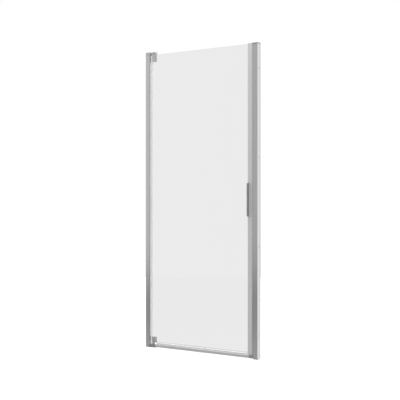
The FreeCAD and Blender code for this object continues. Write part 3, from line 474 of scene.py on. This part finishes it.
# A soft moulded wiper under the profile closes the gap over the threshold.
wiper_depth = 13 * MM
wiper_margin = 2 * MM
wiper_gap = 0.8 * MM
wiper_wall = 3 * MM
wiper_hollow = 2 * MM
profile_low, profile_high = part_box("closing_profile")
wiper_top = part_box("closing_cap_bottom")[0].z
wiper_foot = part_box("threshold_rail")[1].z + wiper_gap
wiper = cuboid("closing_foot_wiper",
               ((profile_low.x + profile_high.x) / 2, 0, (wiper_top + wiper_foot) / 2),
               (profile_high.x - profile_low.x - 2 * wiper_margin, wiper_depth, wiper_top - wiper_foot))
bpy.ops.object.mode_set(mode="EDIT")
choose_faces(wiper.data, facing(0, 0, -1))
bpy.ops.mesh.inset(thickness=wiper_wall)
bpy.ops.mesh.extrude_region_move(TRANSFORM_OT_translate={"value": (0, 0, wiper_hollow)})
bpy.ops.object.mode_set(mode="OBJECT")
round_edges(wiper, 0.7 * MM)
wiper_plastic = moulded_plastic("wiper_plastic", 0.78, 0.6, 0.3)
settle(wiper, wiper_plastic, "door")

# ------------------------------------------------------------------ handles
# A blade of extruded aluminium on each side of the closing profile, tied through it by two
# socket screws. The foot that lies on the profile gets the profile's lighter satin finish, painted
# light that hides the blade's shade and dark reflection on it.

foot_thickness = 3 * MM
blade_thickness = 4.8 * MM
handle_shank = 2 * MM
profile_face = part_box("closing_profile")[1].y
foot_limit = profile_face + foot_thickness + 0.2 * MM
blade_aluminium = extruded_aluminium("blade_aluminium", 0.52, 0.35, LINES_UPRIGHT)
for side in ("outer", "inner"):
    handle = ease_edges("handle_" + side, side + "_blade_handle", 0.5, blade_aluminium, "door")
    blade_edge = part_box("handle_" + side)[0].x + blade_thickness
    # Painted light: the foot's faces take the lighter satin finish, so the blade's shade on them
    # doesn't show.
    second_finish(handle, satin_aluminium,
                  lambda face: face.center.x > blade_edge and abs(face.center.y) < foot_limit)

inner_foot = profile_face + foot_thickness
screws_low, screws_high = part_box("handle_screws")
handle_head = (screws_high.x - screws_low.x) / 2
handle_screw_x = (screws_low.x + screws_high.x) / 2
for name, level in (("handle_screw_low", screws_low.z + handle_head),
                    ("handle_screw_high", screws_high.z - handle_head)):
    socket_screw(name, (handle_screw_x, inner_foot, level), handle_head, screws_high.y - inner_foot,
                 handle_shank, inner_foot - screws_low.y, "handle_screws")

# ------------------------------------------------------------------ threshold
# A low hollow rail of extruded aluminium stands on a pale soft strip that seals it to the
# tray. A moulded plug ends it in the right channel.

lying_aluminium = extruded_aluminium("lying_aluminium", 0.80, 0.45, (3, 700, 700))
paint(["threshold_rail"], lying_aluminium)
soft_silicone = clear_strip("soft_silicone", 1.0, 0.4, 0.1, LINES_LEVEL)
paint(["threshold_seal"], soft_silicone)
paint(["threshold_end"], cap_grey)


def choose_edges(mesh, test):
    """Select in edit mode the edges whose middles pass the test, and nothing else."""
    bpy.ops.mesh.select_mode(type="EDGE")
    bpy.ops.mesh.select_all(action="DESELECT")
    work = bmesh.from_edit_mesh(mesh)
    for edge in work.edges:
        edge.select = test((edge.verts[0].co + edge.verts[1].co) / 2)
    bmesh.update_edit_mesh(mesh)


# A dark moulded boot covers the rail where it runs into the right channel. Its top slopes
# down on the shower side, as the rail's does.
boot_reach = 24 * MM
boot_tuck = 4 * MM
boot_wall = 0.7 * MM
boot_slope = 8 * MM
boot_start = profile_high.x - boot_reach
boot_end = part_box("wall_channel_right")[0].x + boot_tuck
rail_low, rail_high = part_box("threshold_rail")
boot_height = rail_high.z - rail_low.z + 0.5 * boot_wall
boot = cuboid("rail_end_boot",
              ((boot_start + boot_end) / 2, 0, rail_low.z + boot_height / 2),
              (boot_end - boot_start, rail_high.y - rail_low.y + 2 * boot_wall, boot_height))
bpy.ops.object.mode_set(mode="EDIT")
choose_edges(boot.data, lambda middle: middle.y > rail_high.y and middle.z > rail_high.z)
bpy.ops.mesh.bevel(offset=boot_slope, segments=1)
bpy.ops.object.mode_set(mode="OBJECT")
round_edges(boot, 0.6 * MM)
boot_grey = moulded_plastic("boot_grey", 0.32, 0.5, 0.4)
settle(boot, boot_grey, "frame")

# ------------------------------------------------------------------ floor
# A plain pale floor, white for the camera apart from the door's shadow, and white through
# the glass. In the metal it is white behind the door and dark in front, darker further away.

door_line, behind_door, far_front = -0.02, 0.03, -2.5
floor_lift = 0.88
bpy.ops.mesh.primitive_circle_add(vertices=96, radius=6, fill_type="NGON", location=(0, 0, -0.5 * MM))
floor = bpy.context.active_object
floor.name = "pale_floor"
floor_paint, tree, shader = new_finish("pale_floor_paint")
shader.inputs["Base Color"].default_value = (0.8, 0.8, 0.8, 1)
shader.inputs["Roughness"].default_value = 0.9
ray = tree.nodes.new("ShaderNodeLightPath")
glow = add_node(tree, "ShaderNodeEmission", {"Strength": floor_lift})
tree.links.new(ray.outputs["Is Camera Ray"], glow.inputs["Color"])
lifted = tree.nodes.new("ShaderNodeAddShader")
tree.links.new(shader.outputs["BSDF"], lifted.inputs[0])
tree.links.new(glow.outputs["Emission"], lifted.inputs[1])
distance = position(tree, "Y", "Object")
floor_tone = combine(tree, "MAXIMUM", spread(tree, distance, 0.27, 0.42, far_front, door_line),
                     spread(tree, distance, 0.0, 1.0, door_line, behind_door))
mirrored_floor = tree.nodes.new("ShaderNodeEmission")
tree.links.new(floor_tone, mirrored_floor.inputs["Color"])
in_metal = mix_shaders(tree, ray.outputs["Is Glossy Ray"], lifted.outputs["Shader"],
                       mirrored_floor.outputs["Emission"])
seen_through = add_node(tree, "ShaderNodeEmission", {"Color": (1, 1, 1, 1)})
floor_surface = mix_shaders(tree, ray.outputs["Is Transmission Ray"], in_metal,
                            seen_through.outputs["Emission"])
tree.links.new(floor_surface, tree.nodes["Material Output"].inputs["Surface"])
floor.data.materials.append(floor_paint)

# ------------------------------------------------------------------ room and light
# The room is white for the camera and through the glass. In the metal it is white behind the
# door and at its sides, and dims as a mirrored direction turns from the sides to the front.

front, sides = -0.95, -0.615
room_light = 0.64
room = bpy.data.worlds.new("studio")
bpy.context.scene.world = room
room.use_nodes = True
tree = room.node_tree
studio = tree.nodes["Background"]
studio.inputs["Color"].default_value = (1, 1, 1, 1)
studio.inputs["Strength"].default_value = room_light
mirrored_room = tree.nodes.new("ShaderNodeBackground")
room_tone = spread(tree, position(tree, "Y", "Generated"), 0.25, 1.0, front, sides)
tree.links.new(room_tone, mirrored_room.inputs["Color"])
white_room = add_node(tree, "ShaderNodeBackground", {"Color": (1, 1, 1, 1)})
ray = tree.nodes.new("ShaderNodeLightPath")
in_metal = mix_shaders(tree, ray.outputs["Is Glossy Ray"], studio.outputs["Background"],
                       mirrored_room.outputs["Background"])
clear_view = combine(tree, "MAXIMUM", ray.outputs["Is Camera Ray"], ray.outputs["Is Transmission Ray"])
in_view = mix_shaders(tree, clear_view, in_metal, white_room.outputs["Background"])
tree.links.new(in_view, tree.nodes["World Output"].inputs["Surface"])

# One large soft lamp above the front, which the metal and the glass don't show.
light_place = Vector((0.8, -1.6, 4.2))
light_aim = Vector((0, 0, 0.9))
bpy.ops.object.light_add(type="AREA", location=light_place)
key_light = bpy.context.active_object
key_light.name = "key_light"
key_light.data.shape = "DISK"
key_light.data.size = 1.5
key_light.data.energy = 50
key_light.visible_glossy = False
key_light.visible_transmission = False
key_light.rotation_euler = (light_aim - light_place).to_track_quat("-Z", "Y").to_euler()

# ------------------------------------------------------------------ camera
# The photograph's view, from the front and to the right, at half the door's height. The
# camera is level, so that other views made from it keep the whole door.

camera_place = (3.640, -5.0015, 1.006)
camera_heading = math.radians(36.1)
bpy.ops.object.camera_add(location=camera_place, rotation=(math.radians(90), 0, camera_heading))
camera = bpy.context.active_object
camera.data.lens = 85.14
camera.data.sensor_width = 36
camera.data.shift_y = -0.00275
bpy.context.scene.camera = camera
bpy.context.scene.view_settings.view_transform = "Standard"
